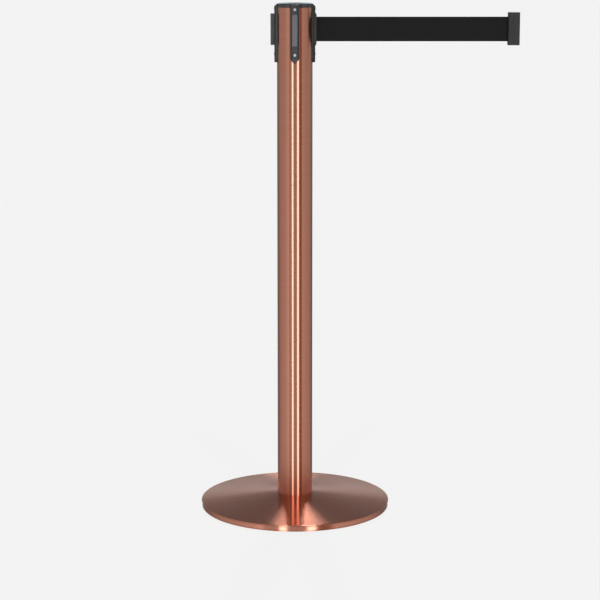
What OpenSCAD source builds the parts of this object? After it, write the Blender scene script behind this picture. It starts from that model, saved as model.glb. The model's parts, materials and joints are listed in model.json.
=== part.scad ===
// Retractable belt stanchion: a weighted base, a tube, and a belt cassette in the tube's head.
// Millimetres. The origin is on the floor under the post's axis, +Z is up, the belt leaves along +X.

/* [Post] */
// Height of the whole stanchion
post_h = 1016; // [940:1:1100]
// Outside diameter of the tube
tube_d = 70; // [69.5:0.1:71]
// Wall thickness of the tube
tube_wall = 1.5; // [1.2:0.1:1.6]

/* [Base] */
// Diameter over the rolled edge of the cover
base_d = 380; // [340:1:420]
// Height of the cover's rolled edge above the floor
edge_h = 14; // [12:0.5:16]
// Height of the cover where the tube goes through it
hub_h = 29; // [28:0.5:32]
// Thickness of the cover and of the trim band
sheet_t = 1; // [0.8:0.1:1.2]
// Thickness of the floor pad
pad_t = 3; // [2.5:0.1:3]

/* [Head] */
// Thickness of the cap above the tube
cap_t = 7; // [5:0.5:7]
// Width of a plate against the tube
plate_w = 17.6; // [17:0.1:22]
// Width of a plate's front face
plate_face_w = 10.4; // [10:0.1:12]
// How far a plate stands off the tube
plate_t = 5.1; // [4.8:0.1:5.4]
// Length of a plate, from its tip to the level of the cap
plate_len = 115.5; // [113:0.5:118]
// Depth of the upper screw below the top
upper_screw_drop = 10; // [10:0.1:10.4]
// Depth of the lower screw below the top
lower_screw_drop = 98.5; // [97:0.5:100]
// Width of the rail's head
rail_w = 10.2; // [9.4:0.1:10.4]
// Width of the rail's neck
rail_neck_w = 5.6; // [5:0.1:5.8]
// Thickness of the rail's head
rail_head_t = 4; // [3:0.1:4.2]
// How far the rail stands off the plate
rail_out = 7.5; // [7:0.1:7.7]
// Length of the rail
rail_len = 61.2; // [58:0.1:61.4]

/* [Belt] */
// Width of the webbing
belt_w = 48; // [46:0.5:49]
// Thickness of the webbing
belt_t = 0.6; // [0.5:0.05:0.7]
// Depth of the webbing's middle below the top
belt_drop = 50; // [49.5:0.25:51]
// Webbing outside the mouth as it stands, up to the belt end
belt_shown = 375; // [100:1:800]

/* [Belt end] */
// Length of the belt end along the belt
clip_l = 22.6; // [22:0.1:26]
// Thickness of the belt end across the belt
clip_w = 20; // [19:0.5:24]
// Height of the belt end
clip_h = 63.5; // [63.1:0.1:66]

/* [Hidden] */
tube_r = tube_d / 2;
bore_r = tube_r - tube_wall;
fit = 0.3;          // gap between parts that slide past or into each other
snug = 0.05;        // gap between a shaft or screw and its hole
round_fn = 96;
small_fn = 48;

// Base
edge_r = base_d / 2;
bead_r = 1.2;
band_r = edge_r - 1.25;
band_low = 1;
band_top = edge_h - 2 * bead_r - fit;
weight_r = band_r - sheet_t - fit;
pad_r = weight_r - 2.5;
hole_r = tube_r + 0.4;
seat_h = 24;        // level of the seat that the tube's foot stands on
web_low = 16;       // underside of the weight's web, where the washers bear
recess_r = 26;
bolt_r = 5.95;
bolt_head_r = 11;
bolt_head_t = 7.4;
washer_t = 2.5;
plug_h = 22;

// Head, by height
top_z = post_h;
tube_top = post_h - cap_t;
upper_screw_z = post_h - upper_screw_drop;
lower_screw_z = post_h - lower_screw_drop;
plate_tip_z = post_h + 0.5 - plate_len;
rail_mid_z = post_h - 50.3;
rail_low_z = rail_mid_z - rail_len / 2;
rail_top_z = rail_mid_z + rail_len / 2;
belt_z = post_h - belt_drop;
belt_low = belt_z - belt_w / 2;
belt_top = belt_z + belt_w / 2;

// Head, by radius from the post's axis
plate_r = tube_r + plate_t;
rail_r = plate_r + rail_out;
boss_r = plate_r + 2.6;

// Screws that hold the plates
screw_r = 1.95;
screw_head_r = 3.2;
screw_head_t = 2;
screw_seat_r = plate_r - 1.2;
screw_tip_r = bore_r - 2.9;

// Cassette
spool_x = -4;       // the spool stands off the post's axis, to leave room for the guide pins
case_r = bore_r - fit;
case_in_r = case_r - 2.7;
case_low = post_h - 116;
case_floor = case_low + 3;
lid_low = post_h - 16;
lid_top = lid_low + 3;
spindle_r = 3;
bush_r = 4.55;
core_r = 10;
flange_r = 24.5;
flange_t = 2;
low_flange_z = belt_low - 0.7 - flange_t;
top_flange_z = belt_top + 0.7;
spool_low = low_flange_z - 2.8;
spool_top = top_flange_z + flange_t + 0.8;
roll_r = 20.1;
cup_r = 24;
cup_wall = 1.2;
cup_low = spool_low - 25;
cup_top_t = 1.5;
arbor_r = 4.6;
arbor_top = spool_low - 1.8;
spring_t = 0.3;
spring_turns = 9;
spring_steps = 20;  // facets in one turn of the spring
spring_low = cup_low + 2;
spring_h = 19;

// Retraction brake, on top of the spool
ring_in_r = 22.8;
ring_out_r = 26;
shoe_in_r = 13;
shoe_out_r = 21.2;
shoe_low = spool_top + 1.4;
shoe_t = 4.5;
shoe_pivot_r = 17;
shoe_pin_r = 1.4;
shoe_span = 120;

// Belt path
guide_x = 25.5;
guide_r = 2.5;
guide_y = guide_r + fit + belt_t / 2;
ledge_top = spool_low;
wrap_r = guide_r + fit + belt_t / 2;
leave_r = roll_r + fit + belt_t / 2;
guide_gap = norm([guide_x - spool_x, guide_y]);
// Angle of the stretch of belt between the roll and the guide pin
lead_angle = asin((leave_r + wrap_r) / guide_gap) - atan(guide_y / (guide_x - spool_x));
lead_len = sqrt(guide_gap * guide_gap - (leave_r + wrap_r) * (leave_r + wrap_r));
slot_half = 4;
mouth_half = 1.7;
slot_over = 2.4;    // how far the slot runs past each edge of the webbing
mouth_over = 1.2;

// Belt end
clip_x = boss_r + belt_shown;
clip_low = rail_mid_z - 30.9;
clip_end = clip_x + clip_l;
lip_t = rail_out - rail_head_t - 0.5;
chamber_t = rail_head_t + 0.6;
chamber_x = clip_end - lip_t - chamber_t;
chamber_half = rail_w / 2 + 0.4;
neck_half = rail_neck_w / 2 + 0.4;
slot_top = rail_top_z + 0.3;
pin_x = clip_x + 5.2;
pin_r = 1.5;
hem_r = pin_r + snug + belt_t;
keyhole_r = hem_r + fit;
keyhole_half = belt_t / 2 + fit;
keyhole_low = belt_low - 2;
plug_low = belt_top + 4.5;

EXIT = 0;
LEFT = 180;
FRONT = 270;
REAR = 90;
COPPER = [0.72, 0.45, 0.36];
GUNMETAL = [0.32, 0.31, 0.32];
STEEL = [0.72, 0.72, 0.73];

// ---- Shared shapes ----

// A ring standing on z
module ring(outer, inner, z, h, fn = round_fn) {
    translate([0, 0, z]) rotate_extrude($fn = fn) translate([inner, 0]) square([outer - inner, h]);
}

// A rod standing on z
module rod(r, z, h, fn = small_fn) {
    translate([0, 0, z]) cylinder(r = r, h = h, $fn = fn);
}

// A rod pointing away from the post at height z, from one radius to another
module spoke(r, z, from_r, to_r) {
    translate([from_r, 0, z]) rotate([0, 90, 0]) cylinder(r = r, h = to_r - from_r, $fn = small_fn);
}

// A box given by its lowest and highest corners
module block(low, high) {
    translate(low) cube(high - low);
}

// A rectangle with round corners
module round_rect(low, high, r) {
    translate(low + [r, 0]) square(high - low - [2 * r, 0]);
    translate(low + [0, r]) square(high - low - [0, 2 * r]);
    for (x = [low[0] + r, high[0] - r], y = [low[1] + r, high[1] - r]) {
        translate([x, y]) circle(r = r, $fn = small_fn);
    }
}

// Everything centred on the spool's axis
module at_spool() {
    translate([spool_x, 0, 0]) children();
}

// ---- Base ----

module floor_pad() {
    color([0.08, 0.08, 0.08]) rotate_extrude($fn = round_fn)
        polygon([[0, 0], [pad_r - 0.8, 0], [pad_r, 0.8], [pad_r, pad_t], [0, pad_t]]);
}

// Height of the cover's underside at a radius
function under_cover(r) =
    edge_h - sheet_t + (hub_h - edge_h) * (edge_r - bead_r - r) / (edge_r - bead_r - hole_r);

// Cast disc, hollowed underneath between its hub and its rim
module base_weight() {
    gap = 0.1;
    hub_r = 60;
    rim_r = weight_r - 36;
    relief = 5;
    chamfer = 2;        // clears the bead at the foot of the trim band
    color([0.2, 0.2, 0.21]) rotate_extrude($fn = round_fn) polygon([
        [bolt_r + 0.8, web_low], [recess_r, web_low], [recess_r, pad_t], [hub_r, pad_t],
        [hub_r + relief, pad_t + relief], [rim_r - relief, pad_t + relief], [rim_r, pad_t],
        [weight_r - chamfer, pad_t], [weight_r, pad_t + chamfer],
        [weight_r, band_top - 0.5], [weight_r - 2, under_cover(weight_r - 2) - gap],
        [hole_r, under_cover(hole_r) - gap], [hole_r, seat_h], [bolt_r + 0.8, seat_h],
    ]);
}

module rim_band() {
    color(COPPER) rotate_extrude($fn = round_fn) {
        translate([band_r - sheet_t, band_low]) square([sheet_t - 0.3, band_top - band_low]);
        translate([band_r - bead_r, band_low + bead_r]) circle(r = bead_r, $fn = small_fn);
        translate([band_r - sheet_t + 0.2, band_top - 1.2]) square([sheet_t - 0.2, 1.2]);
    }
}

// Points along an arc of a circle, between two angles
function arc(centre, r, from_angle, to_angle, steps) = [
    for (step = [0 : steps])
        let (angle = from_angle + (to_angle - from_angle) * step / steps)
        centre + r * [cos(angle), sin(angle)]
];

// Conical sheet whose edge is rolled under into a bead
module base_cover() {
    bead = [edge_r - bead_r, edge_h - bead_r];
    color(COPPER) rotate_extrude($fn = round_fn) polygon(concat(
        [[hole_r, hub_h - sheet_t], [hole_r, hub_h]],
        arc(bead, bead_r, 85, -180, 10),
        [[edge_r - 2 * bead_r, edge_h - sheet_t + 0.1]]
    ));
}

module base_bolt() {
    head_low = web_low - 2 * washer_t - bolt_head_t;
    color(STEEL) {
        rod(bolt_head_r, head_low, bolt_head_t, 6);
        rod(bolt_r, head_low + bolt_head_t, 2 * washer_t + seat_h - web_low + plug_h + 3);
    }
}

module lock_washer() {
    color(STEEL) difference() {
        ring(10.2, bolt_r + 0.2, web_low - 2 * washer_t, washer_t, small_fn);
        block([0, -0.6, 0], [20, 0.6, web_low]);
    }
}

module flat_washer() {
    color(STEEL) ring(18, bolt_r + 0.3, web_low - washer_t, washer_t);
}

module foot_plug() {
    color(STEEL) rotate_extrude($fn = round_fn) polygon([
        [bolt_r + snug, seat_h], [bore_r - 1.1, seat_h], [bore_r - 0.1, seat_h + 1],
        [bore_r - 0.1, seat_h + plug_h], [bolt_r + snug, seat_h + plug_h],
    ]);
}

// ---- Post and head ----

module belt_slot(from_r, to_r, half, over) {
    block([from_r, -half, belt_low - over], [to_r, half, belt_top + over]);
}

module post_tube() {
    color(COPPER) difference() {
        ring(tube_r, bore_r, seat_h, tube_top - seat_h);
        belt_slot(bore_r - 5, tube_r + 5, slot_half, slot_over);
        for (side = [EXIT, LEFT, FRONT, REAR], z = [upper_screw_z, lower_screw_z]) {
            rotate([0, 0, side]) spoke(screw_r + 0.25, z, bore_r - 5, tube_r + 5);
        }
    }
}

module top_cap() {
    edge = 1.2;
    skirt_low = lid_top + 0.4;
    color(GUNMETAL) difference() {
        rotate_extrude($fn = round_fn) {
            translate([0, tube_top + 0.2]) square([tube_r, cap_t - 0.2 - edge]);
            translate([0, tube_top + 0.2]) square([tube_r - edge, cap_t - 0.2]);
            translate([tube_r - edge, top_z - edge]) circle(r = edge, $fn = small_fn);
            translate([case_r - 2.8, skirt_low]) square([2.8, tube_top + 1 - skirt_low]);
        }
        for (side = [EXIT, LEFT, FRONT, REAR]) {
            rotate([0, 0, side]) spoke(screw_r + snug, upper_screw_z, case_r - 5, case_r + 1);
        }
    }
}

// Plate with sloping flanks, a pointed foot and a bevelled top, hollowed to fit the tube
module plate_blank() {
    deep = tube_r - 4;
    shoulder_r = tube_r + 1.3;
    tip_half = 2.2;
    taper = 8.5;
    bevel = 4.6;
    face_half = plate_face_w / 2;
    half = plate_w / 2;
    difference() {
        intersection() {
            linear_extrude(height = post_h) polygon([
                [deep, -half], [shoulder_r, -half], [plate_r, -face_half],
                [plate_r, face_half], [shoulder_r, half], [deep, half],
            ]);
            rotate([90, 0, 90]) linear_extrude(height = plate_r + 1) polygon([
                [-tip_half, plate_tip_z], [tip_half, plate_tip_z], [half, plate_tip_z + taper],
                [half, top_z], [-half, top_z], [-half, plate_tip_z + taper],
            ]);
            translate([0, half + 1, 0]) rotate([90, 0, 0]) linear_extrude(height = plate_w + 2)
                polygon([
                    [deep, plate_tip_z], [plate_r - 1, plate_tip_z], [plate_r, plate_tip_z + 1],
                    [plate_r, top_z - 1 - bevel], [plate_r - bevel, top_z - 1], [deep, top_z - 1],
                ]);
        }
        translate([0, 0, plate_tip_z - 1]) cylinder(r = tube_r + 0.1, h = plate_len + 2, $fn = round_fn);
    }
}

module plate_holes() {
    for (z = [upper_screw_z, lower_screw_z]) {
        spoke(screw_r + 0.25, z, tube_r - 5, plate_r + 1);
        spoke(screw_head_r + fit, z, screw_seat_r, plate_r + 1);
    }
}

// Rail that a neighbour's belt end drops over: a head on a narrower neck
module rail() {
    lead = 1.5;
    head_r = rail_r - rail_head_t;
    half = rail_w / 2;
    block([plate_r - 0.5, -rail_neck_w / 2, rail_low_z], [head_r + 0.5, rail_neck_w / 2, rail_top_z]);
    rotate([90, 0, 90]) translate([0, 0, head_r]) linear_extrude(height = rail_head_t) polygon([
        [-half, rail_low_z], [half, rail_low_z], [half, rail_top_z - lead],
        [half - lead, rail_top_z], [lead - half, rail_top_z], [-half, rail_top_z - lead],
    ]);
}

module receiver(side) {
    lock_hole_r = 1.6;
    lock_hole_z = rail_low_z - 3;
    color(GUNMETAL) rotate([0, 0, side]) difference() {
        union() {
            plate_blank();
            rail();
        }
        plate_holes();
        spoke(lock_hole_r, lock_hole_z, plate_r - 3, plate_r + 1);
    }
}

module exit_plate() {
    boss_half = 7;
    color(GUNMETAL) difference() {
        union() {
            plate_blank();
            translate([0, boss_half, 0]) rotate([90, 0, 0]) linear_extrude(height = 2 * boss_half)
                polygon([
                    [plate_r - 2, belt_low - 12], [plate_r, belt_low - 9], [boss_r, belt_low - 4],
                    [boss_r, belt_top + 4], [plate_r, belt_top + 9], [plate_r - 2, belt_top + 12],
                ]);
        }
        cylinder(r = tube_r + 0.1, h = post_h + 1, $fn = round_fn);
        plate_holes();
        belt_slot(tube_r - 5, plate_r - 0.1, slot_half, slot_over);
        belt_slot(tube_r - 5, boss_r + 1, mouth_half, mouth_over);
    }
}

module plate_screw(z) {
    cross_w = 0.7;
    cross_half = 1.7;
    head_end = screw_seat_r + screw_head_t;
    difference() {
        union() {
            translate([screw_seat_r, 0, z]) rotate([0, 90, 0]) rotate_extrude($fn = small_fn) polygon([
                [0, 0], [screw_head_r, 0], [screw_head_r, screw_head_t / 2],
                [screw_head_r - 0.6, screw_head_t - 0.3], [screw_head_r - 1.6, screw_head_t],
                [0, screw_head_t],
            ]);
            spoke(screw_r, z, screw_tip_r, screw_seat_r + 0.5);
        }
        block([head_end - 0.9, -cross_w / 2, z - cross_half], [head_end + 1, cross_w / 2, z + cross_half]);
        block([head_end - 0.9, -cross_half, z - cross_w / 2], [head_end + 1, cross_half, z + cross_w / 2]);
    }
}

module plate_screws() {
    color(STEEL) for (side = [EXIT, LEFT, FRONT, REAR], z = [upper_screw_z, lower_screw_z]) {
        rotate([0, 0, side]) plate_screw(z);
    }
}

module mouth_liner() {
    from_r = guide_x + guide_r + 1.2;
    color([0.1, 0.1, 0.1]) difference() {
        belt_slot(from_r, plate_r - 0.2, slot_half - 0.1, slot_over - 0.1);
        belt_slot(from_r - 1, plate_r + 1, mouth_half, mouth_over);
    }
}

// ---- Cassette ----

module cassette_case() {
    ledge_half = 7.5;
    ledge_low = ledge_top - 4.5;
    boss = 7;
    color([0.16, 0.16, 0.17]) difference() {
        union() {
            ring(case_r, case_in_r, case_low, lid_low - case_low);
            rod(case_in_r + 0.5, case_low, case_floor - case_low, round_fn);
            at_spool() rod(boss, case_floor - 0.5, 5);
            intersection() {
                rod(case_in_r + 0.5, ledge_low, ledge_top - ledge_low, round_fn);
                block([guide_x - 3.5, -ledge_half, ledge_low], [case_r, ledge_half, ledge_top]);
            }
        }
        at_spool() rod(spindle_r + snug, case_low - 1, 12);
        for (y = [-guide_y, guide_y]) {
            translate([guide_x, y, 0]) rod(guide_r + snug, ledge_top - 3, 5);
        }
        belt_slot(guide_x + guide_r + 1, case_r + 5, slot_half, slot_over);
        for (side = [EXIT, LEFT, FRONT, REAR]) {
            rotate([0, 0, side]) spoke(screw_r + snug, lower_screw_z, case_in_r - 1, case_r + 1);
        }
    }
}

module cassette_lid() {
    boss = 7;
    color([0.16, 0.16, 0.17]) difference() {
        union() {
            rod(case_r, lid_low, lid_top - lid_low, round_fn);
            at_spool() rod(boss, spool_top + 1.8, lid_low - spool_top - 1.3);
        }
        at_spool() rod(spindle_r + snug, spool_top, 20);
        for (y = [-guide_y, guide_y]) {
            translate([guide_x, y, 0]) rod(guide_r + snug, lid_low - 1, 3);
        }
    }
}

module spindle() {
    groove_z = lid_top + 0.1;
    color(STEEL) at_spool() difference() {
        union() {
            rod(spindle_r + 2.5, case_low - 2, 2);
            rod(spindle_r, case_low - 1, groove_z + 2 - case_low);
        }
        ring(spindle_r + 1, spindle_r - 0.5, groove_z, 0.8, small_fn);
    }
}

module spindle_clip() {
    color(STEEL) at_spool() difference() {
        ring(spindle_r + 2.5, spindle_r - 0.45, lid_top + 0.1, 0.7, small_fn);
        block([0, -1.6, lid_top - 1], [10, 1.6, lid_top + 3]);
    }
}

module spool() {
    color([0.75, 0.74, 0.7]) at_spool() difference() {
        union() {
            rod(core_r, spool_low, spool_top - spool_low, round_fn);
            rod(flange_r, low_flange_z, flange_t, round_fn);
            rod(flange_r, top_flange_z, flange_t, round_fn);
        }
        rod(bush_r + snug, spool_low - 1, spool_top - spool_low + 2);
        for (turn = [0 : 60 : 300]) {
            rotate([0, 0, turn]) translate([shoe_pivot_r, 0, 0])
                rod(shoe_pin_r, top_flange_z - 1, flange_t + 2);
        }
    }
}

module bush(low, flange_low) {
    color([0.76, 0.6, 0.34]) at_spool() difference() {
        union() {
            rod(bush_r, low, 7.5);
            rod(bush_r + 0.4, flange_low, 1.4);
        }
        rod(spindle_r + snug, flange_low - 20, 60);
    }
}

module lower_bush() {
    bush(spool_low, spool_low - 1.4);
}

module upper_bush() {
    bush(spool_top - 7.5, spool_top);
}

module belt_roll() {
    color([0.1, 0.1, 0.1]) at_spool() ring(roll_r, core_r + snug, belt_low, belt_w);
}

module spring_cup() {
    color(STEEL) at_spool() difference() {
        rod(cup_r, cup_low, spool_low - cup_low, round_fn);
        rod(cup_r - cup_wall, cup_low - 1, spool_low - cup_low + 1 - cup_top_t, round_fn);
        rod(bush_r + 0.7, cup_low - 1, 40);
    }
}

module spring_cover() {
    color(STEEL) at_spool() ring(cup_r, arbor_r + 0.6, cup_low - 1.4, 1.3);
}

module spring_arbor() {
    low = case_floor + 4.6;
    color(STEEL) at_spool() ring(arbor_r, spindle_r + snug, low, arbor_top - low, small_fn);
}

// Point on one edge of the spring's strip, a number of steps from its inner end
function spring_point(step, side) =
    let (
        steps = spring_turns * spring_steps,
        inner = arbor_r + 0.5,
        outer = cup_r - cup_wall - 0.7,
        r = inner + (outer - inner) * step / steps + side * spring_t / 2,
        angle = 360 * step / spring_steps
    ) [r * cos(angle), r * sin(angle)];

module clock_spring() {
    steps = spring_turns * spring_steps;
    color([0.45, 0.5, 0.6]) at_spool() translate([0, 0, spring_low]) linear_extrude(height = spring_h)
        polygon(concat(
            [for (step = [0 : steps]) spring_point(step, 1)],
            [for (step = [steps : -1 : 0]) spring_point(step, -1)]
        ));
}

module brake_ring() {
    color([0.55, 0.55, 0.56]) at_spool() ring(ring_out_r, ring_in_r, shoe_low - 0.2, lid_low - shoe_low + 0.2);
}

// A shoe is a stretch of ring that starts round its pivot pin
module brake_shoe(turn) {
    eye_r = 3;
    color([0.5, 0.3, 0.2]) at_spool() rotate([0, 0, turn]) translate([0, 0, shoe_low]) difference() {
        union() {
            rotate_extrude(angle = shoe_span, $fn = round_fn)
                translate([shoe_in_r, 0]) square([shoe_out_r - shoe_in_r, shoe_t]);
            translate([shoe_pivot_r, 0, 0]) cylinder(r = eye_r, h = shoe_t, $fn = small_fn);
        }
        translate([shoe_pivot_r, 0, -1]) cylinder(r = shoe_pin_r + snug, h = shoe_t + 2, $fn = small_fn);
    }
}

module brake_shoe_a() {
    brake_shoe(0);
}

module brake_shoe_b() {
    brake_shoe(180);
}

module shoe_pins() {
    color(STEEL) at_spool() for (turn = [0, 180]) {
        rotate([0, 0, turn]) translate([shoe_pivot_r, 0, 0])
            rod(shoe_pin_r - snug, top_flange_z, shoe_low + shoe_t - 0.2 - top_flange_z);
    }
}

module guide_pins() {
    color(STEEL) for (y = [-guide_y, guide_y]) {
        translate([guide_x, y, 0]) rod(guide_r, ledge_top - 2.9, lid_low + 1.8 - ledge_top + 2.9);
    }
}

// ---- Belt and belt end ----

// The webbing seen from above: off the roll, round a guide pin, straight out, and hemmed round its pin
module belt_path() {
    half = belt_t / 2;
    translate([guide_x, -guide_y]) difference() {
        circle(r = wrap_r + half, $fn = round_fn);
        circle(r = wrap_r - half, $fn = round_fn);
        translate([0, -10]) square([20, 20]);
        rotate(lead_angle) translate([-20, -20]) square([20, 20]);
        translate([-10, -20]) square([20, 20]);
    }
    translate([guide_x, -guide_y]) rotate(lead_angle)
        translate([-lead_len, wrap_r - half]) square([lead_len, belt_t]);
    translate([guide_x, -half]) square([pin_x - pin_r - snug - half - guide_x, belt_t]);
    translate([pin_x, 0]) difference() {
        circle(r = hem_r, $fn = small_fn);
        circle(r = hem_r - belt_t, $fn = small_fn);
    }
}

module belt_web() {
    color([0.1, 0.1, 0.1]) translate([0, 0, belt_low]) linear_extrude(height = belt_w) belt_path();
}

// The keyhole that the hemmed end of the belt drops into, from above
module keyhole(r, half, low, top) {
    translate([pin_x, 0, 0]) rod(r, low, top - low);
    block([clip_x - 1, -half, low], [pin_x, half, top]);
}

module clip_body() {
    top = clip_low + clip_h;
    corner = 1.6;
    color([0.2, 0.2, 0.2]) difference() {
        translate([0, 0, clip_low]) linear_extrude(height = clip_h)
            round_rect([clip_x, -clip_w / 2], [clip_end, clip_w / 2], corner);
        block([chamber_x, -chamber_half, clip_low - 1], [chamber_x + chamber_t, chamber_half, slot_top]);
        block([chamber_x + 1, -neck_half, clip_low - 1], [clip_end + 1, neck_half, slot_top]);
        keyhole(keyhole_r, keyhole_half, keyhole_low, top + 1);
    }
}

module belt_pin() {
    color(STEEL) translate([pin_x, 0, 0]) rod(pin_r, keyhole_low + 0.2, belt_w + 4);
}

module clip_plug() {
    top = clip_low + clip_h;
    color([0.2, 0.2, 0.2]) intersection() {
        keyhole(keyhole_r - snug, keyhole_half - snug, plug_low, top);
        block([clip_x, -clip_w / 2, plug_low], [clip_end, clip_w / 2, top]);
    }
}

floor_pad();
base_weight();
rim_band();
base_cover();
base_bolt();
lock_washer();
flat_washer();
foot_plug();
post_tube();
top_cap();
receiver(LEFT);  // receiver_left
receiver(FRONT);  // receiver_front
receiver(REAR);  // receiver_rear
exit_plate();
plate_screws();
mouth_liner();
cassette_case();
cassette_lid();
spindle();
spindle_clip();
spool();
lower_bush();
upper_bush();
belt_roll();
spring_cup();
spring_cover();
spring_arbor();
clock_spring();
brake_ring();
brake_shoe_a();
brake_shoe_b();
shoe_pins();
guide_pins();
belt_web();
clip_body();
belt_pin();
clip_plug();
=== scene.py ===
"""Looks of the retractable belt stanchion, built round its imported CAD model.

Meshes are drawn in millimetres and scaled to metres when they become objects.
The post stands on Z, the belt leaves along +X, and the camera looks along +Y.
"""
import json
import math

import bmesh
import bpy
from mathutils import Matrix, Vector


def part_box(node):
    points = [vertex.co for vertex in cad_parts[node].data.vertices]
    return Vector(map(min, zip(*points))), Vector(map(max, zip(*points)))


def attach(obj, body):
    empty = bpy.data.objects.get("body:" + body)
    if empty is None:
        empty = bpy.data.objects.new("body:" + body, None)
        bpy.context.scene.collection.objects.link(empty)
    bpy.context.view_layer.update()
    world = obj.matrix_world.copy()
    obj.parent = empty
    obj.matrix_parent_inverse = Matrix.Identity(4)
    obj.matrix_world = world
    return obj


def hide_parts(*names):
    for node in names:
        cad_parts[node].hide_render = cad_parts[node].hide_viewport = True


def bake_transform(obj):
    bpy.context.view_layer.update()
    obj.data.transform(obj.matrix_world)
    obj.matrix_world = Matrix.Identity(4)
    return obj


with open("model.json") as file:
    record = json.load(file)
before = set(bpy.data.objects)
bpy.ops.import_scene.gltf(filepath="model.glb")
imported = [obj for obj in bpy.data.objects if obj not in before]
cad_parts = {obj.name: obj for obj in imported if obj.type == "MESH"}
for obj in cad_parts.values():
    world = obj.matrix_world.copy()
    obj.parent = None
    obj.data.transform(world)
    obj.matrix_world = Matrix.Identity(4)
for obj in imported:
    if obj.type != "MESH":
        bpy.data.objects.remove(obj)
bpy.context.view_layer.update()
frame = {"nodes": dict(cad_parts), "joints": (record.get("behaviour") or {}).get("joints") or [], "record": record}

MM = 0.001
SEGMENTS = 192
SPOKE_SEGMENTS = 40
SCREW_SEGMENTS = 48
SHARP = math.radians(32)
SIDES = {"exit": 0, "left": 180, "front": 270, "rear": 90}


def box_mm(node):
    """Lowest and highest corner of a CAD node, in millimetres."""
    low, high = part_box(node)
    return low / MM, high / MM


# ---- Places, from the frame ----

TUBE_LOW, TUBE_HIGH = box_mm("post_tube")
TUBE_R = TUBE_HIGH.x
TUBE_WALL = 1.5
TOP = box_mm("top_cap")[1].z
CAP_SKIRT = box_mm("top_cap")[0].z
CAP_EDGE = 1.2
PAD_HIGH = box_mm("floor_pad")[1]
COVER_LOW, COVER_HIGH = box_mm("base_cover")
BAND_LOW, BAND_HIGH = box_mm("rim_band")
HOLE_R = TUBE_R + 0.4
BEAD_R = 1.2
EDGE_H = COVER_LOW.z + 2 * BEAD_R
PLATE_LOW, PLATE_HIGH = box_mm("receiver_rear")
PLATE_HALF = PLATE_HIGH.x
RAIL_R = PLATE_HIGH.y
PLATE_R = RAIL_R - 7.5
FACE_HALF = 5.2
RAIL_HALF = 5.1
RAIL_NECK_HALF = 2.8
RAIL_HEAD_T = 4
RAIL_LEAD = 1.5
LOCK_HOLE_R = 1.6
BOSS_R = box_mm("exit_plate")[1].x
BOSS_HALF = 7
SCREWS_LOW, SCREWS_HIGH = box_mm("plate_screws")
SCREW_R = 1.95
SCREW_HEAD_R = 3.2
SCREW_HEAD_T = 2
SCREW_SEAT_R = PLATE_R - 1.2
SCREW_TIP_R = TUBE_R - TUBE_WALL - 2.9
SCREW_LEVELS = (SCREWS_LOW.z + SCREW_HEAD_R, SCREWS_HIGH.z - SCREW_HEAD_R)
LINER_LOW, LINER_HIGH = box_mm("mouth_liner")
MOUTH_HALF = 1.7
BELT_LOW, BELT_HIGH = box_mm("belt_web")
BELT_T = 0.6
CLIP_LOW, CLIP_HIGH = box_mm("clip_body")
PIN_LOW, PIN_HIGH = box_mm("belt_pin")
GUIDE_LOW = box_mm("guide_pins")[0]
GUIDE_R = 2.5
RAIL_MID = TOP - 50.3
RAIL_LEN = 61.2
RAIL_LOW = RAIL_MID - RAIL_LEN / 2
RAIL_TOP = RAIL_MID + RAIL_LEN / 2


# ---- Camera ----

LENS = 121.9
LENS_SHIFT = -0.0667
CAMERA_PLACE = (0.0102, -4, 1.21)
LOOK_DOWN = 9.977


def make_camera():
    """The photograph's viewpoint: 4 m in front of the post, 0.2 m above its top, looking down a little."""
    data = bpy.data.cameras.new("camera")
    data.sensor_width = 36
    data.lens = LENS
    data.shift_y = LENS_SHIFT
    camera = bpy.data.objects.new("camera", data)
    camera.location = CAMERA_PLACE
    camera.rotation_euler = (math.radians(90 - LOOK_DOWN), 0, 0)
    bpy.context.scene.collection.objects.link(camera)
    bpy.context.scene.camera = camera


make_camera()


# ---- Node graphs ----

class Graph:
    """Short calls for building a node tree."""

    def __init__(self, tree):
        self.tree = tree

    def add(self, kind, inputs=None, **settings):
        node = self.tree.nodes.new(kind)
        for name, value in settings.items():
            setattr(node, name, value)
        for name, value in (inputs or {}).items():
            self.feed(node.inputs[name], value)
        return node

    def feed(self, socket, value):
        if isinstance(value, bpy.types.NodeSocket):
            self.tree.links.new(value, socket)
        else:
            socket.default_value = value

    def math(self, operation, a, b=0.0):
        node = self.add("ShaderNodeMath", operation=operation)
        for socket, value in zip(node.inputs, (a, b)):
            self.feed(socket, value)
        return node.outputs[0]

    def noise(self, vector, scale, detail=2.0, rough=0.5):
        node = self.add("ShaderNodeTexNoise", {
            "Vector": vector, "Scale": scale, "Detail": detail, "Roughness": rough})
        return node.outputs["Fac"]

    def remap(self, value, from_low, from_high, to_low=0.0, to_high=1.0):
        node = self.add("ShaderNodeMapRange", {
            "Value": value, "From Min": from_low, "From Max": from_high, "To Min": to_low, "To Max": to_high})
        return node.outputs[0]

    def ramp(self, value, stops):
        """A colour ramp through (position, brightness or colour) stops."""
        node = self.add("ShaderNodeValToRGB", {"Fac": value})
        elements = node.color_ramp.elements
        while len(elements) < len(stops):
            elements.new(1.0)
        for element, (position, colour) in zip(elements, stops):
            element.position = position
            element.color = colour if hasattr(colour, "__len__") else (colour, colour, colour, 1)
        return node.outputs["Color"]

    def mix(self, share, a, b, blend="MIX"):
        node = self.add("ShaderNodeMix", data_type="RGBA", blend_type=blend)
        self.feed(node.inputs["Factor"], share)
        self.feed(node.inputs[6], a)
        self.feed(node.inputs[7], b)
        return node.outputs[2]

    def bump(self, height, distance, strength=1.0):
        node = self.add("ShaderNodeBump", {"Height": height, "Distance": distance, "Strength": strength})
        return node.outputs["Normal"]


def rgba(colour, factor=1.0):
    """An opaque colour, lightened or darkened by the factor."""
    return tuple(min(1.0, channel * factor) for channel in colour) + (1,)


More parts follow.
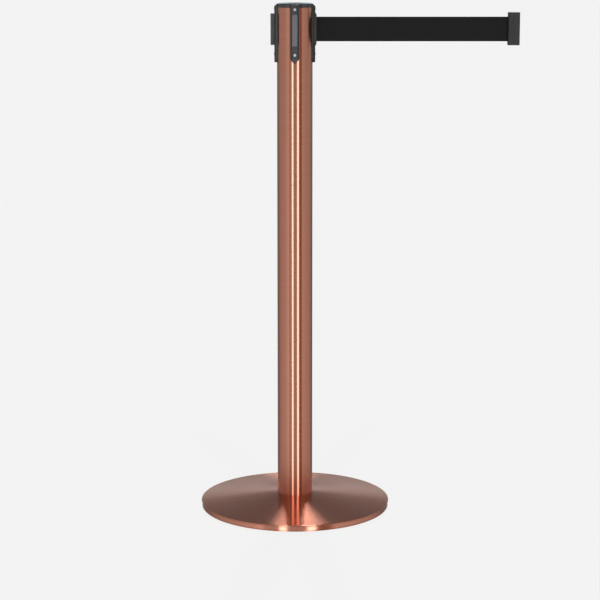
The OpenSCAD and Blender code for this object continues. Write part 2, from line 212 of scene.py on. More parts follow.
def new_material(name, **sockets):
    """A material with values set on its shader's own sockets, named with _ for a space."""
    material = bpy.data.materials.new(name)
    material.use_nodes = True
    graph = Graph(material.node_tree)
    shader = material.node_tree.nodes["Principled BSDF"]
    for socket, value in sockets.items():
        shader.inputs[socket.replace("_", " ")].default_value = value
    return material, graph, shader


def place(graph):
    """The point in the row frame, in metres."""
    return graph.add("ShaderNodeTexCoord").outputs["Object"]


# ---- Materials ----

HIGHLIGHT_FADE = 0.0006
BROAD_GRAIN = 22
LINE_PITCHES = (2600.0, 700.0)
RIB_PITCH_M = 0.0012
WEFT_PITCH_M = 0.0014


def surface(name, colour, roughness, grain, depth, mottle=0.12, metallic=0.0, painted_highlight=None, **sockets):
    """A moulded, cast or plated finish: fine grain in relief, with uneven colour and gloss.

    Where |x| or |y| is beyond the painted highlight's reach, the surface takes its lighter colour: a painted
    highlight on the faces that stand furthest out.
    """
    material, graph, shader = new_material(name, Metallic=metallic, **sockets)
    point = place(graph)
    fine = graph.noise(point, grain, 3.0, 0.6)
    broad = graph.noise(point, grain / BROAD_GRAIN, 4.0)
    shade = graph.mix(graph.remap(broad, 0.3, 0.7), rgba(colour, 1 - mottle), rgba(colour, 1 + mottle))
    # Painted highlight: a lighter colour on the faces furthest out along x or y.
    if painted_highlight:
        light, reach = painted_highlight
        split = graph.add("ShaderNodeSeparateXYZ", {"Vector": point}).outputs
        out = graph.math("MAXIMUM", graph.math("ABSOLUTE", split["X"]), graph.math("ABSOLUTE", split["Y"]))
        shade = graph.mix(graph.remap(out, reach - HIGHLIGHT_FADE, reach), shade, rgba(light))
    graph.feed(shader.inputs["Base Color"], shade)
    gloss = graph.math("ADD", graph.remap(broad, 0.3, 0.7, -0.05, 0.05),
                       graph.remap(fine, 0.3, 0.7, -0.04, 0.04))
    graph.feed(shader.inputs["Roughness"], graph.math("ADD", gloss, roughness))
    graph.feed(shader.inputs["Normal"], graph.bump(fine, depth))
    return material


def brushed(name, deep, bright, cloudy, roughness, metallic=1.0):
    """A finish brushed or turned in rings round the post's axis, in three close tones."""
    material, graph, shader = new_material(
        name, Metallic=metallic, Anisotropic=1.0, Anisotropic_Rotation=0.25)
    point = place(graph)
    split = graph.add("ShaderNodeSeparateXYZ", {"Vector": point}).outputs
    radius = graph.math("SQRT", graph.math("ADD", graph.math("POWER", split["X"], 2.0),
                                           graph.math("POWER", split["Y"], 2.0)))
    along = graph.math("ADD", radius, split["Z"])
    lines = []
    for pitch in LINE_PITCHES:
        vector = graph.add("ShaderNodeCombineXYZ", {
            "X": graph.math("MULTIPLY", split["X"], 9.0), "Y": graph.math("MULTIPLY", split["Y"], 9.0),
            "Z": graph.math("MULTIPLY", along, pitch)})
        lines.append(graph.noise(vector.outputs[0], 1.0, 3.0, 0.65))
    cloud = graph.noise(point, 14.0, 3.0)
    tone = graph.math("ADD", graph.math("MULTIPLY", lines[0], 0.45), graph.math("MULTIPLY", lines[1], 0.55))
    colour = graph.mix(graph.remap(tone, 0.35, 0.65), rgba(deep), rgba(bright))
    colour = graph.mix(graph.remap(cloud, 0.35, 0.65, 0.0, 0.35), colour, rgba(cloudy))
    graph.feed(shader.inputs["Base Color"], colour)
    gloss = graph.math("ADD", graph.remap(tone, 0.35, 0.65, -0.02, 0.02),
                       graph.remap(cloud, 0.3, 0.7, -0.01, 0.015))
    graph.feed(shader.inputs["Roughness"], graph.math("ADD", gloss, roughness))
    tangent = graph.add("ShaderNodeTangent", direction_type="RADIAL", axis="Z")
    graph.feed(shader.inputs["Tangent"], tangent.outputs[0])
    graph.feed(shader.inputs["Normal"], graph.bump(tone, 0.000002, 0.3))
    return material


def webbing():
    """Black woven polyester: weft rows over and under the lengthwise ribs, with a little sheen and painted shade
    in the weave's low places.
    """
    material, graph, shader = new_material("webbing", Roughness=0.75, Sheen_Weight=0.06, Sheen_Roughness=0.5)
    shader.inputs["Specular IOR Level"].default_value = 0.25
    split = graph.add("ShaderNodeSeparateXYZ", {"Vector": place(graph)}).outputs
    warp = graph.math("DIVIDE", split["Z"], RIB_PITCH_M)
    weft = graph.math("DIVIDE", split["X"], WEFT_PITCH_M)
    staggered = graph.math("ADD", weft, graph.math("FLOOR", warp))
    over = graph.math("SINE", graph.math("MULTIPLY", staggered, math.pi))
    rib = graph.math("ABSOLUTE", graph.math("SINE", graph.math("MULTIPLY", warp, math.pi)))
    strand = graph.noise(place(graph), 2600.0, 2.0)
    height = graph.math("ADD", graph.math("MULTIPLY", graph.math("ABSOLUTE", over), rib),
                        graph.math("MULTIPLY", strand, 0.25))
    # Painted shade: the weave's low places are darker and its raised yarns lighter.
    shade = graph.mix(graph.remap(height, 0.0, 1.1), (0.006, 0.006, 0.006, 1), (0.016, 0.016, 0.0165, 1))
    graph.feed(shader.inputs["Base Color"], shade)
    graph.feed(shader.inputs["Normal"], graph.bump(height, 0.0002, 0.8))
    return material


def thread():
    """Black sewing thread, twisted."""
    material, graph, shader = new_material("thread", Roughness=0.6)
    twist = graph.noise(place(graph), 5200.0, 2.0)
    shade = graph.mix(graph.remap(twist, 0.3, 0.7), (0.010, 0.010, 0.010, 1), (0.03, 0.03, 0.03, 1))
    graph.feed(shader.inputs["Base Color"], shade)
    graph.feed(shader.inputs["Normal"], graph.bump(twist, 0.0001))
    return material


MATERIALS = {
    "copper": brushed("brushed_copper", (0.81, 0.33, 0.225), (0.91, 0.40, 0.285), (0.86, 0.38, 0.26), 0.22),
    "webbing": webbing(),
    # The rails' front faces get a painted highlight in a lighter grey.
    "head_plastic": surface("gunmetal_plastic", (0.095, 0.098, 0.10), 0.42, 2600, 0.00002, metallic=0.8,
                            painted_highlight=((0.20, 0.20, 0.22), RAIL_R * MM - 0.0002)),
    "clip_plastic": surface("clip_plastic", (0.028, 0.028, 0.0285), 0.5, 2600, 0.00004),
    "steel": surface("plated_steel", (0.62, 0.62, 0.63), 0.25, 1800, 0.00001, metallic=1.0),
    "cast_iron": surface("cast_iron", (0.045, 0.045, 0.047), 0.7, 700, 0.0003, mottle=0.3),
    "rubber": surface("rubber", (0.018, 0.018, 0.018), 0.75, 1200, 0.0001),
    "black_plastic": surface("black_nylon", (0.016, 0.016, 0.017), 0.45, 2200, 0.00003),
    "white_plastic": surface("natural_acetal", (0.68, 0.66, 0.6), 0.38, 2200, 0.00002, mottle=0.05),
    "bronze": surface("sintered_bronze", (0.55, 0.36, 0.15), 0.45, 3000, 0.00003, metallic=1.0),
    "brake_lining": surface("brake_lining", (0.19, 0.1, 0.06), 0.85, 1500, 0.0001, mottle=0.35),
}
TURNED_CAP = brushed("turned_gunmetal", (0.12, 0.122, 0.125), (0.17, 0.174, 0.178), (0.14, 0.144, 0.15),
                     0.25, metallic=0.9)
# A darker copy of the head plastic for the mouth plate: painted shade.
SHADED_MOUTH_PLASTIC = surface("gunmetal_painted_shade", (0.05, 0.052, 0.052), 0.42, 2600, 0.00002, metallic=0.6)
SPRING_STEEL = surface("blued_spring_steel", (0.25, 0.3, 0.42), 0.28, 1800, 0.00001, metallic=1.0)
THREAD = thread()


# ---- Mesh work ----

def finish_piece(name, bm, body, slot, replaces=(), material=None):
    """Turns a mesh drawn in millimetres into a piece, which rides on the CAD body if one is given."""
    bmesh.ops.recalc_face_normals(bm, faces=bm.faces)
    bmesh.ops.scale(bm, vec=(MM, MM, MM), verts=bm.verts)
    mesh = bpy.data.meshes.new(name)
    bm.to_mesh(mesh)
    bm.free()
    mesh.polygons.foreach_set("use_smooth", [True] * len(mesh.polygons))
    mesh.set_sharp_from_angle(angle=SHARP)
    mesh.materials.append(material or MATERIALS[slot])
    piece = bpy.data.objects.new(name, mesh)
    bpy.context.scene.collection.objects.link(piece)
    if body:
        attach(piece, body)
    if replaces:
        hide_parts(*replaces)
    return piece


def arc(x, y, r, from_angle, to_angle, steps):
    """Points along an arc, angles in degrees."""
    angles = [math.radians(from_angle + (to_angle - from_angle) * i / steps) for i in range(steps + 1)]
    return [(x + r * math.cos(a), y + r * math.sin(a)) for a in angles]


def held(profile, gap=0.25):
    """A closed profile with a point added just inside each end of its long edges.

    Smooth shading then bends only at the corners and leaves the long faces flat.
    """
    points = []
    for a, b in zip(profile, profile[1:] + profile[:1]):
        a, b = Vector(a), Vector(b)
        length = (b - a).length
        points.append(tuple(a))
        if length > 5 * gap:
            points.append(tuple(a.lerp(b, gap / length)))
            points.append(tuple(b.lerp(a, gap / length)))
    return points


def revolve(profile, segments=SEGMENTS):
    """A closed (radius, height) profile turned round Z."""
    bm = bmesh.new()
    rings = []
    for r, z in profile:
        if r < 1e-6:
            rings.append([bm.verts.new((0, 0, z))] * segments)
            continue
        turn = [2 * math.pi * i / segments for i in range(segments)]
        rings.append([bm.verts.new((r * math.cos(a), r * math.sin(a), z)) for a in turn])
    for lower, upper in zip(rings, rings[1:] + rings[:1]):
        for i in range(segments):
            j = (i + 1) % segments
            corners = list(dict.fromkeys((lower[i], lower[j], upper[j], upper[i])))
            if len(corners) > 2:
                bm.faces.new(corners)
    return bm


def prism(outline, low, high, axes="xyz"):
    """An outline in the first two axes, drawn out along the third."""
    order = ["xyz".index(axis) for axis in axes]

    def point(u, v, w):
        place_of = [0, 0, 0]
        for index, value in zip(order, (u, v, w)):
            place_of[index] = value
        return place_of

    bm = bmesh.new()
    bottom = [bm.verts.new(point(u, v, low)) for u, v in outline]
    top = [bm.verts.new(point(u, v, high)) for u, v in outline]
    bm.faces.new(bottom)
    bm.faces.new(top)
    for i in range(len(outline)):
        j = (i + 1) % len(outline)
        bm.faces.new((bottom[i], bottom[j], top[j], top[i]))
    bmesh.ops.recalc_face_normals(bm, faces=bm.faces)
    return bm


def block(low, high):
    """A box between two opposite corners."""
    outline = [(low[0], low[1]), (high[0], low[1]), (high[0], high[1]), (low[0], high[1])]
    return prism(outline, low[2], high[2])


def spoke(r, z, from_r, to_r):
    """A rod along +X at height z."""
    bm = revolve([(0, from_r), (r, from_r), (r, to_r), (0, to_r)], SPOKE_SEGMENTS)
    bmesh.ops.rotate(bm, matrix=Matrix.Rotation(math.radians(90), 3, "Y"), verts=bm.verts)
    bmesh.ops.translate(bm, vec=(0, 0, z), verts=bm.verts)
    return bm


def rod(r, low, high, x=0.0, segments=64):
    """An upright rod at a distance x along +X."""
    bm = revolve([(0, low), (r, low), (r, high), (0, high)], segments)
    bmesh.ops.translate(bm, vec=(x, 0, 0), verts=bm.verts)
    return bm


def turned(bm, side):
    """The mesh turned from the exit side to another side of the post."""
    bmesh.ops.rotate(bm, matrix=Matrix.Rotation(math.radians(SIDES[side]), 3, "Z"), verts=bm.verts)
    return bm


def scratch_object(bm, name):
    """A short-lived object that holds a mesh for a boolean."""
    mesh = bpy.data.meshes.new(name)
    bmesh.ops.recalc_face_normals(bm, faces=bm.faces)
    bm.to_mesh(mesh)
    bm.free()
    thing = bpy.data.objects.new(name, mesh)
    bpy.context.scene.collection.objects.link(thing)
    return thing


def combine(base, steps):
    """The mesh after a list of ("UNION" | "DIFFERENCE" | "INTERSECT", mesh) steps."""
    target = scratch_object(base, "base")
    tools = []
    for operation, tool in steps:
        tools.append(scratch_object(tool, "tool"))
        modifier = target.modifiers.new("boolean", "BOOLEAN")
        modifier.operation = operation
        modifier.object = tools[-1]
        modifier.solver = "EXACT"
    result = bmesh.new()
    result.from_object(target, bpy.context.evaluated_depsgraph_get())
    for thing in [target, *tools]:
        bpy.data.objects.remove(thing)
    bmesh.ops.dissolve_limit(result, angle_limit=math.radians(0.2), verts=result.verts, edges=result.edges)
    return result


def soften(piece, width, segments=3):
    """Rounds a piece's sharp edges and keeps its flat faces flat."""
    bevel = piece.modifiers.new("round_edges", "BEVEL")
    bevel.width = width * MM
    bevel.segments = segments
    bevel.limit_method = "ANGLE"
    bevel.angle_limit = SHARP
    bevel.harden_normals = False
    weight = piece.modifiers.new("flat_faces", "WEIGHTED_NORMAL")
    weight.keep_sharp = True


# ---- Base ----

def build_pad():
    """Rubber pad with rings moulded into its underside."""
    rim = PAD_HIGH.x
    thick = PAD_HIGH.z
    first_ring, spacing = 20, 8
    groove_d = 0.7
    edge_r = 0.8
    under = [(0, 0)]
    for r in range(first_ring, int(rim) - spacing, spacing):
        under += [(r, 0), (r + 0.6, groove_d), (r + 2.4, groove_d), (r + 3, 0)]
    profile = under + arc(rim - edge_r, edge_r, edge_r, -90, 0, 5) + [(rim, thick), (0, thick)]
    finish_piece("floor_pad_ribbed", revolve(profile), "post", "rubber", ["floor_pad"])


def build_band():
    """Trim band round the weight, with a bead rolled at its foot."""
    outer = BAND_HIGH.x
    low, top = BAND_LOW.z, BAND_HIGH.z
    wall = outer - 0.3
    sheet = 0.7
    lip_r = 0.35
    profile = (
        [(wall - sheet, top), (wall - sheet, low + 2.2)]
        + arc(outer - BEAD_R, low + BEAD_R, BEAD_R, 130, 410, 28)
        + [(wall, low + 2.4), (wall, top - 1.4)]
        + arc(outer - lip_r, top - 0.85, lip_r, -90, 0, 4)
        + arc(outer - lip_r, top - lip_r, lip_r, 0, 90, 4)
    )
    finish_piece("trim_band", revolve(held(profile, 0.15)), "post", "copper", ["rim_band"])


def build_cover():
    """Conical cover whose edge is rolled under into a bead."""
    rim = COVER_HIGH.x
    top = COVER_HIGH.z
    bead = (rim - BEAD_R, COVER_LOW.z + BEAD_R)
    fall = math.degrees(math.atan2(top - EDGE_H, rim - BEAD_R - HOLE_R))
    profile = (
        [(HOLE_R, top - 1)]
        + arc(HOLE_R + 0.3, top - 0.33, 0.3, 180, 90 - fall, 5)
        + arc(*bead, BEAD_R, 90 - fall, -180, 30)
        + [(rim - 2 * BEAD_R, EDGE_H - 0.9)]
    )
    finish_piece("cover", revolve(held(profile)), "post", "copper", ["base_cover"])


# ---- Post and head ----

def build_tube():
    """Tube with the belt's slot and the plates' screw holes."""
    low, top = TUBE_LOW.z, TUBE_HIGH.z
    bore = TUBE_R - TUBE_WALL
    edge = 0.2
    outside = [low + edge, 60, 200, 400, 600, 800, PLATE_LOW.z - 4, PLATE_LOW.z + 4, top - edge]
    profile = (
        [(bore + edge, low), (TUBE_R - edge, low)]
        + [(TUBE_R, z) for z in outside]
        + [(TUBE_R - edge, top), (bore + edge, top), (bore, top - edge), (bore, low + edge)]
    )
    gap = 0.1
    cuts = [block((bore - 5, LINER_LOW.y - gap, LINER_LOW.z - gap),
                  (TUBE_R + 5, LINER_HIGH.y + gap, LINER_HIGH.z + gap))]
    for side in SIDES:
        for z in SCREW_LEVELS:
            cuts.append(turned(spoke(SCREW_R + 0.25, z, bore - 3, TUBE_R + 3), side))
    mesh = combine(revolve(profile), [("DIFFERENCE", cut) for cut in cuts])
    finish_piece("tube", mesh, "post", "copper", ["post_tube"])


def build_cap():
    """Cap with a rounded edge, a shallow ring on top and a skirt inside the tube."""
    skirt = TUBE_R - TUBE_WALL - 0.3
    low = TUBE_HIGH.z + 0.2
    inner = skirt - 2.8
    ring = TUBE_R - 5
    deep = 0.25
    profile = (
        [(0, low), (inner, low), (inner, CAP_SKIRT), (skirt - 0.4, CAP_SKIRT), (skirt, CAP_SKIRT + 0.4)]
        + [(skirt, low), (TUBE_R - 0.3, low), (TUBE_R, low + 0.3)]
        + arc(TUBE_R - CAP_EDGE, TOP - CAP_EDGE, CAP_EDGE, 0, 90, 8)
        + [(ring + 2 * deep, TOP), (ring + deep, TOP - deep), (ring - deep, TOP - deep)]
        + [(ring - 2 * deep, TOP), (0, TOP)]
    )
    holes = [turned(spoke(SCREW_R + 0.05, SCREW_LEVELS[1], skirt - 5, skirt + 0.8), side) for side in SIDES]
    mesh = combine(revolve(held(profile)), [("DIFFERENCE", hole) for hole in holes])
    finish_piece("cap", mesh, "post", "head_plastic", ["top_cap"], TURNED_CAP)


def plate_blank():
    """Plate with sloping flanks, a pointed foot and a bevelled top, hollowed to fit the tube."""
    deep = TUBE_R - 4
    low, top = PLATE_LOW.z, PLATE_HIGH.z
    tip_half = 2.2
    taper = 8.5
    bevel = 4.6
    section = [(deep, -PLATE_HALF), (TUBE_R + 1.3, -PLATE_HALF), (PLATE_R, -FACE_HALF)]
    section += [(x, -y) for x, y in reversed(section)]
    front = [(-tip_half, low), (tip_half, low), (PLATE_HALF + 0.01, low + taper), (PLATE_HALF + 0.01, top)]
    front += [(-y, z) for y, z in reversed(front[2:])]
    side = [(deep, low), (PLATE_R - 1, low), (PLATE_R, low + 1), (PLATE_R, top - bevel),
            (PLATE_R - bevel, top), (deep, top)]
    return prism(section, low - 1, top + 1), [
        ("INTERSECT", prism(front, deep - 1, PLATE_R + 1, "yzx")),
        ("INTERSECT", prism(side, -PLATE_HALF - 1, PLATE_HALF + 1, "xzy")),
        ("DIFFERENCE", rod(TUBE_R + 0.1, low - 2, top + 2, segments=SEGMENTS)),
    ]


def plate_holes():
    """The clearance hole and the head's seat for each of a plate's screws."""
    holes = []
    for z in SCREW_LEVELS:
        holes.append(("DIFFERENCE", spoke(SCREW_R + 0.25, z, TUBE_R - 5, PLATE_R + 1)))
        holes.append(("DIFFERENCE", spoke(SCREW_HEAD_R + 0.3, z, SCREW_SEAT_R, PLATE_R + 1)))
    return holes


def build_rail_plate(side, node):
    """Plate with the rail that a neighbour's belt end drops over, and the hole for its lock."""
    blank, steps = plate_blank()
    inner = RAIL_R - RAIL_HEAD_T
    head = [(-RAIL_HALF, RAIL_LOW), (RAIL_HALF, RAIL_LOW), (RAIL_HALF, RAIL_TOP - RAIL_LEAD),
            (RAIL_HALF - RAIL_LEAD, RAIL_TOP), (RAIL_LEAD - RAIL_HALF, RAIL_TOP),
            (-RAIL_HALF, RAIL_TOP - RAIL_LEAD)]
    steps += [
        ("UNION", block((PLATE_R - 0.5, -RAIL_NECK_HALF, RAIL_LOW), (inner + 0.5, RAIL_NECK_HALF, RAIL_TOP))),
        ("UNION", prism(head, inner, RAIL_R, "yzx")),
        ("DIFFERENCE", spoke(LOCK_HOLE_R, RAIL_LOW - 3, PLATE_R - 3, PLATE_R + 1)),
    ]
    mesh = turned(combine(blank, steps + plate_holes()), side)
    soften(finish_piece(f"rail_plate_{side}", mesh, "post", "head_plastic", [node]), 0.3)


def build_mouth_plate():
    """Plate with the raised mouth that the belt leaves by."""
    blank, steps = plate_blank()
    low, top = BELT_LOW.z, BELT_HIGH.z
    root, foot, crown = 12, 9, 4
    boss = [(PLATE_R - 2, low - root), (PLATE_R, low - foot), (BOSS_R, low - crown),
            (BOSS_R, top + crown), (PLATE_R, top + foot), (PLATE_R - 2, top + root)]
    steps += [
        ("UNION", prism(boss, -BOSS_HALF, BOSS_HALF, "xzy")),
        ("DIFFERENCE", rod(TUBE_R + 0.1, low - 60, top + 60, segments=SEGMENTS)),
        ("DIFFERENCE", block((TUBE_R - 5, LINER_LOW.y - 0.1, LINER_LOW.z - 0.1),
                             (PLATE_R - 0.1, LINER_HIGH.y + 0.1, LINER_HIGH.z + 0.1))),
        ("DIFFERENCE", block((TUBE_R - 5, -MOUTH_HALF, low - 1.2), (BOSS_R + 1, MOUTH_HALF, top + 1.2))),
    ]
    # The mouth plate takes the darker copy of the head plastic, as painted shade.
    soften(finish_piece("mouth_plate", combine(blank, steps + plate_holes()), "post", "head_plastic",
                        ["exit_plate"], SHADED_MOUTH_PLASTIC), 0.3)


def build_screws():
    """Eight pan-head screws with a cross recess, two to a plate."""
    head = [(0, 0), (SCREW_HEAD_R, 0)] + arc(SCREW_HEAD_R - 1.4, 0.5, 1.4, 0, 70, 8) + [(0, SCREW_HEAD_T)]
    end = SCREW_SEAT_R + SCREW_HEAD_T
    cross_d, cross_half, cross_reach = 0.9, 0.35, 1.7
    for side in SIDES:
        for level, z in zip(("lower", "upper"), SCREW_LEVELS):
            bm = revolve(head, SCREW_SEGMENTS)
            bmesh.ops.rotate(bm, matrix=Matrix.Rotation(math.radians(90), 3, "Y"), verts=bm.verts)
            bmesh.ops.translate(bm, vec=(SCREW_SEAT_R, 0, z), verts=bm.verts)
            steps = [
                ("UNION", spoke(SCREW_R, z, SCREW_TIP_R, SCREW_SEAT_R + 0.4)),
            ]
            for wide, tall in ((cross_half, cross_reach), (cross_reach, cross_half)):
                cut = block((end - cross_d, -wide, z - tall), (end + 1, wide, z + tall))
                steps.append(("DIFFERENCE", cut))
            mesh = turned(combine(bm, steps), side)
            finish_piece(f"screw_{side}_{level}", mesh, "post", "steel", ["plate_screws"])


# ---- Belt ----

EXIT_X = GUIDE_LOW.x + GUIDE_R
BELT_JOINT = next(joint for joint in frame["joints"] if joint["name"] == "belt_pull")
RETRACT = -BELT_JOINT["range_m"][0] / MM
STRETCH_END = EXIT_X + RETRACT
PIN_X = (PIN_LOW.x + PIN_HIGH.x) / 2
PIN_R = PIN_HIGH.x - PIN_X
HEM_LEN = 14
WRAP_R = GUIDE_R + 0.3 + BELT_T / 2
GUIDE_Y = WRAP_R
BELT_W = BELT_HIGH.z - BELT_LOW.z
RIB_PITCH = BELT_W / 41
THREAD_R = 0.22
STITCH_LEN = 3.0


def belt_centre_line():
    """The webbing's middle seen from above.

    It comes off the roll, round a guide pin and out to the pin in the belt end, and folds back there.
    """
    roll_low, roll_high = box_mm("belt_roll")
    roll_x = (roll_low.x + roll_high.x) / 2
    leave_r = (roll_high.x - roll_low.x) / 2 + 0.3 + BELT_T / 2
    gap = math.hypot(EXIT_X - roll_x, GUIDE_Y)
    lead = math.degrees(math.asin((leave_r + WRAP_R) / gap) - math.atan2(GUIDE_Y, EXIT_X - roll_x))
    lead_len = math.sqrt(gap ** 2 - (leave_r + WRAP_R) ** 2)
    wrap = arc(EXIT_X, -GUIDE_Y, WRAP_R, 90 + lead, 90, 10)
    along = Vector((math.cos(math.radians(lead)), math.sin(math.radians(lead))))
    start = Vector(wrap[0]) - along * lead_len
    layer = BELT_T / 2
    turn_r = PIN_R + 0.05 + layer
    sweep = math.degrees(math.asin(layer / turn_r))
    points = [tuple(start)] + wrap
    points += [(STRETCH_END, 0), (STRETCH_END + 1.2, -layer * 0.3), (STRETCH_END + 2.4, -layer * 0.8)]
    points += [(STRETCH_END + 3.4, -layer)]
    points += arc(PIN_X, 0, turn_r, 180 + sweep, 540 - sweep, 28)
    points += [(CLIP_LOW.x - HEM_LEN, layer)]
    return points


def belt_section():
    """Half thicknesses across the webbing, ribbed lengthwise, with a thicker selvedge at each edge."""
    edge = 1.3
    steps = 6
    rows = []
    count = round(BELT_W / RIB_PITCH) * steps
    for i in range(count + 1):
        across = BELT_W * i / count
        inset = min(across, BELT_W - across)
        rib = abs(math.sin(math.pi * across / RIB_PITCH))
        half = BELT_T / 2 * (0.82 + 0.12 * rib)
        if inset < edge / 2:
            half = BELT_T / 2 * math.sqrt(max(0.0, 1 - (1 - inset / edge * 2) ** 2))
        elif inset < edge:
            half = BELT_T / 2
        rows.append((BELT_LOW.z + across, half))
    return rows


def build_belt():
    """The webbing from the roll to the belt end, folded back round its pin and sewn."""
    line = [Vector(point) for point in belt_centre_line()]
    rows = belt_section()
    bm = bmesh.new()
    rings = []
    for i, point in enumerate(line):
        before = line[max(0, i - 1)]
        after = line[min(len(line) - 1, i + 1)]
        heading = (after - before).normalized()
        side = Vector((-heading.y, heading.x))
        ring = [point + side * half for z, half in rows]
        back = [point - side * half for z, half in reversed(rows[1:-1])]
        levels = [z for z, half in rows] + [z for z, half in reversed(rows[1:-1])]
        rings.append([bm.verts.new((spot.x, spot.y, z)) for spot, z in zip(ring + back, levels)])
    for first, second in zip(rings, rings[1:]):
        for i in range(len(first)):
            j = (i + 1) % len(first)
            bm.faces.new((first[i], first[j], second[j], second[i]))
    bm.faces.new(rings[0])
    bm.faces.new(rings[-1])
    belt = finish_piece("belt", bm, None, "webbing", ["belt_web"])
    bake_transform(belt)


def stitch(bm, start, end, y):
    """One stitch: a short thread lying on the webbing, its ends going in."""
    r = THREAD_R
    steps = 6
    sides = 8
    heading = (end - start).normalized()
    across = Vector((-heading.y, heading.x))
    rings = []
    for i in range(steps + 1):
        share = i / steps
        lift = r * 0.9 * math.sin(math.pi * share) - r * 0.4
        centre = start.lerp(end, share)
        ring = []
        for k in range(sides):
            turn = 2 * math.pi * k / sides
            spot = centre + across * (r * math.cos(turn))
            ring.append(bm.verts.new((spot.x, y + math.copysign(lift + r * math.sin(turn), y), spot.y)))
        rings.append(ring)
    for first, second in zip(rings, rings[1:]):
        for k in range(sides):
            j = (k + 1) % sides
            bm.faces.new((first[k], first[j], second[j], second[k]))
    bm.faces.new(rings[0])
    bm.faces.new(rings[-1])


def build_stitching():
    """A sewn box with a cross in it, through both layers of the hem."""
    left, right = CLIP_LOW.x - HEM_LEN + 2.2, CLIP_LOW.x - 2.2
    low, high = BELT_LOW.z + 4, BELT_HIGH.z - 4
    corners = [Vector((left, low)), Vector((right, low)), Vector((right, high)), Vector((left, high))]
    diagonals = [(corners[0], corners[2]), (corners[1], corners[3])]
    seams = list(zip(corners, corners[1:] + corners[:1])) + diagonals
    bm = bmesh.new()
    for start, end in seams:
        count = max(2, round((end - start).length / STITCH_LEN))
        for i in range(count):
            a = start.lerp(end, (i + 0.08) / count)
            b = start.lerp(end, (i + 0.92) / count)
            for face in (-1, 1):
                stitch(bm, a, b, face * BELT_T)
    finish_piece("belt_stitching", bm, "belt_end", "webbing", material=THREAD)


# ---- Belt end ----

def round_rect(low, high, r):
    """Outline of a rectangle with round corners."""
    corners = [(high[0] - r, high[1] - r, 0), (low[0] + r, high[1] - r, 90), (low[0] + r, low[1] + r, 180),
               (high[0] - r, low[1] + r, 270)]
    points = []
    for x, y, angle in corners:
        points += arc(x, y, r, angle, angle + 90, 8)
    return points


def build_clip():
    """Belt end: a moulded block with a slot for a neighbour's rail and a keyhole for the webbing."""
    low, high = CLIP_LOW, CLIP_HIGH
    lip = RAIL_R - PLATE_R - RAIL_HEAD_T - 0.5
    chamber = RAIL_HEAD_T + 0.6
    chamber_x = high.x - lip - chamber
    slot_top = RAIL_TOP + 0.3
    chamber_half = RAIL_HALF + 0.4
    neck_half = RAIL_NECK_HALF + 0.4
    hem_r = PIN_R + 0.05 + BELT_T
    keyhole_low = BELT_LOW.z - 2
    entry_half = BELT_T / 2 + 0.3
    groove_x = low.x + 9.2
    groove_w, groove_d = 0.8, 0.35
    corner_r = 1.6
    cuts = [
        block((chamber_x, -chamber_half, low.z - 1), (chamber_x + chamber, chamber_half, slot_top)),
        block((chamber_x + 1, -neck_half, low.z - 1), (high.x + 1, neck_half, slot_top)),
        rod(hem_r + 0.3, keyhole_low, high.z + 1, PIN_X),
        block((low.x - 1, -entry_half, keyhole_low), (PIN_X, entry_half, high.z + 1)),
    ]
    for face in (low.y, high.y):
        cuts.append(block((groove_x, face - groove_d, low.z + 5),
                          (groove_x + groove_w, face + groove_d, high.z - 5)))
    body = prism(round_rect((low.x, low.y), (high.x, high.y), corner_r), low.z, high.z)
    mesh = combine(body, [("DIFFERENCE", cut) for cut in cuts])
    soften(finish_piece("belt_end_block", mesh, "belt_end", "clip_plastic", ["clip_body"]), 0.7, 4)


# ---- CAD parts that stay as they are ----

def dress_cad_parts():
    """Gives every shown CAD node the material of its slot in the record."""
    for part in frame["record"]["subparts"]:
        node = frame["nodes"][part["node"]]
        if node.hide_render:
            continue
        material = SPRING_STEEL if part["node"] == "clock_spring" else MATERIALS[part["material_slot"]]
        node.data.materials.clear()
        node.data.materials.append(material)


# ---- Studio ----

WARM_GAP = (0.22, 0.14, 0.10, 1)
COOL_GLOW = (0.52, 0.66, 0.70, 1)
BACKDROP = (0.871, 0.871, 0.871, 1)
FLOOR_SIZE = 160
FLOOR_GLOW = (0.84, 0.84, 0.84, 1)
FLOOR_MATT = (0.12, 0.12, 0.12, 1)


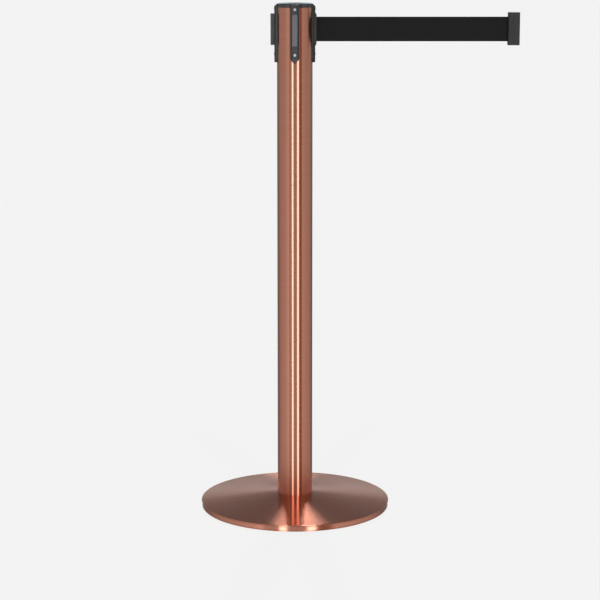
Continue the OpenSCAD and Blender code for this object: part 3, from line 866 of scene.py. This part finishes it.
def build_world():
    """Pale backdrop for the camera, and for everything else the brightness of a studio by direction."""
    world = bpy.data.worlds.new("studio")
    bpy.context.scene.world = world
    world.use_nodes = True
    graph = Graph(world.node_tree)
    world.node_tree.nodes.clear()
    toward = graph.add("ShaderNodeTexCoord").outputs["Generated"]
    split = graph.add("ShaderNodeSeparateXYZ", {"Vector": toward}).outputs
    bearing = graph.math("ARCTAN2", split["X"], graph.math("MULTIPLY", split["Y"], -1.0))
    turn = graph.math("ADD", graph.math("DIVIDE", bearing, 2 * math.pi), 0.5)
    height = graph.math("ARCSINE", split["Z"])
    rise = graph.math("ADD", graph.math("DIVIDE", height, math.pi), 0.5)

    def by_bearing(stops):
        """A ramp by degrees round the post from the camera's side, positive to the right."""
        return graph.ramp(turn, [(0.5 + degrees / 360, value) for degrees, value in stops])

    def by_height(stops):
        """A ramp by degrees above the horizon."""
        return graph.ramp(rise, [(0.5 + degrees / 180, value) for degrees, value in stops])

    # The room's brightness round the post, times its change with height.
    room = graph.mix(1.0, by_bearing((
        (-180, 0.30), (-160, 0.16), (-135, 0.15), (-108, 0.33), (-64, 0.46), (-50, 0.54),
        (-42, 0.66), (-38, 0.38), (28, 0.36), (33, WARM_GAP), (43, WARM_GAP), (51, 0.50),
        (90, 0.38), (108, 0.34), (137, 0.15), (160, 0.16), (180, 0.30))),
        by_height((
            (-90, 1.35), (-25, 1.3), (-8, 1.0), (1, 0.7), (14, 0.7), (24, 0.5), (45, 0.42), (90, 0.4))),
        "MULTIPLY")
    # Two tall light boxes on the camera's side, one to its left and one to its right.
    boxes = graph.mix(1.0, by_bearing((
        (-19.5, 0.0), (-18.5, 1.0), (-11.0, 1.0), (-10.0, 0.0),
        (15.0, 0.0), (16.5, 1.0), (25.5, 1.0), (26.5, 0.0))),
        by_height(((-60, 0.0), (-55, 2.3), (70, 2.3), (75, 0.0))), "MULTIPLY")
    # Two narrow bright patches high up on the far side of the post.
    over = graph.mix(1.0, by_bearing((
        (-176, 0.0), (-175, 1.0), (-171, 1.0), (-170, 0.0), (167, 0.0), (168, 1.0), (174, 1.0), (175, 0.0))),
        by_height(((50, 0.0), (54, 14.0), (72, 22.0), (76, 0.0))), "MULTIPLY")
    # A cool glow low down on the far side.
    horizon = graph.mix(1.0, by_bearing((
        (-180, 1.0), (-135, 0.9), (-95, 0.3), (-75, 0.0), (75, 0.0), (95, 0.3), (135, 0.9), (180, 1.0))),
        by_height(((-1, 0.0), (2, COOL_GLOW), (9, COOL_GLOW), (17, 0.0))), "MULTIPLY")
    light = room
    for patch in (boxes, over, horizon):
        light = graph.mix(1.0, light, patch, "ADD")
    glow = graph.add("ShaderNodeBackground", {"Color": light, "Strength": 1.0})
    plain = graph.add("ShaderNodeBackground", {"Color": BACKDROP, "Strength": 1.0})
    path = graph.add("ShaderNodeLightPath")
    choice = graph.add("ShaderNodeMixShader", {
        0: path.outputs["Is Camera Ray"], 1: glow.outputs[0], 2: plain.outputs[0]})
    out = graph.add("ShaderNodeOutputWorld")
    graph.feed(out.inputs["Surface"], choice.outputs[0])


def build_floor():
    """Plain pale floor that blends into the backdrop, its shade round the object barely visible."""
    bpy.ops.mesh.primitive_plane_add(size=FLOOR_SIZE, location=(0, 0, -0.0002))
    floor = bpy.context.object
    floor.name = "floor"
    material = bpy.data.materials.new("pale_floor")
    material.use_nodes = True
    graph = Graph(material.node_tree)
    material.node_tree.nodes.clear()
    glow = graph.add("ShaderNodeEmission", {"Color": FLOOR_GLOW, "Strength": 1.0})
    matt = graph.add("ShaderNodeBsdfDiffuse", {"Color": FLOOR_MATT})
    both = graph.add("ShaderNodeAddShader", {0: glow.outputs[0], 1: matt.outputs[0]})
    out = graph.add("ShaderNodeOutputMaterial")
    graph.feed(out.inputs["Surface"], both.outputs[0])
    floor.data.materials.append(material)
    floor.visible_glossy = False
    floor.visible_diffuse = False
    floor.visible_shadow = False


# ---- Everything ----

build_pad()
build_band()
build_cover()
build_tube()
build_cap()
for rail_side in ("left", "front", "rear"):
    build_rail_plate(rail_side, f"receiver_{rail_side}")
build_mouth_plate()
build_screws()
build_belt()
build_stitching()
build_clip()
dress_cad_parts()
build_world()
build_floor()
bpy.context.scene.view_settings.view_transform = "Standard"
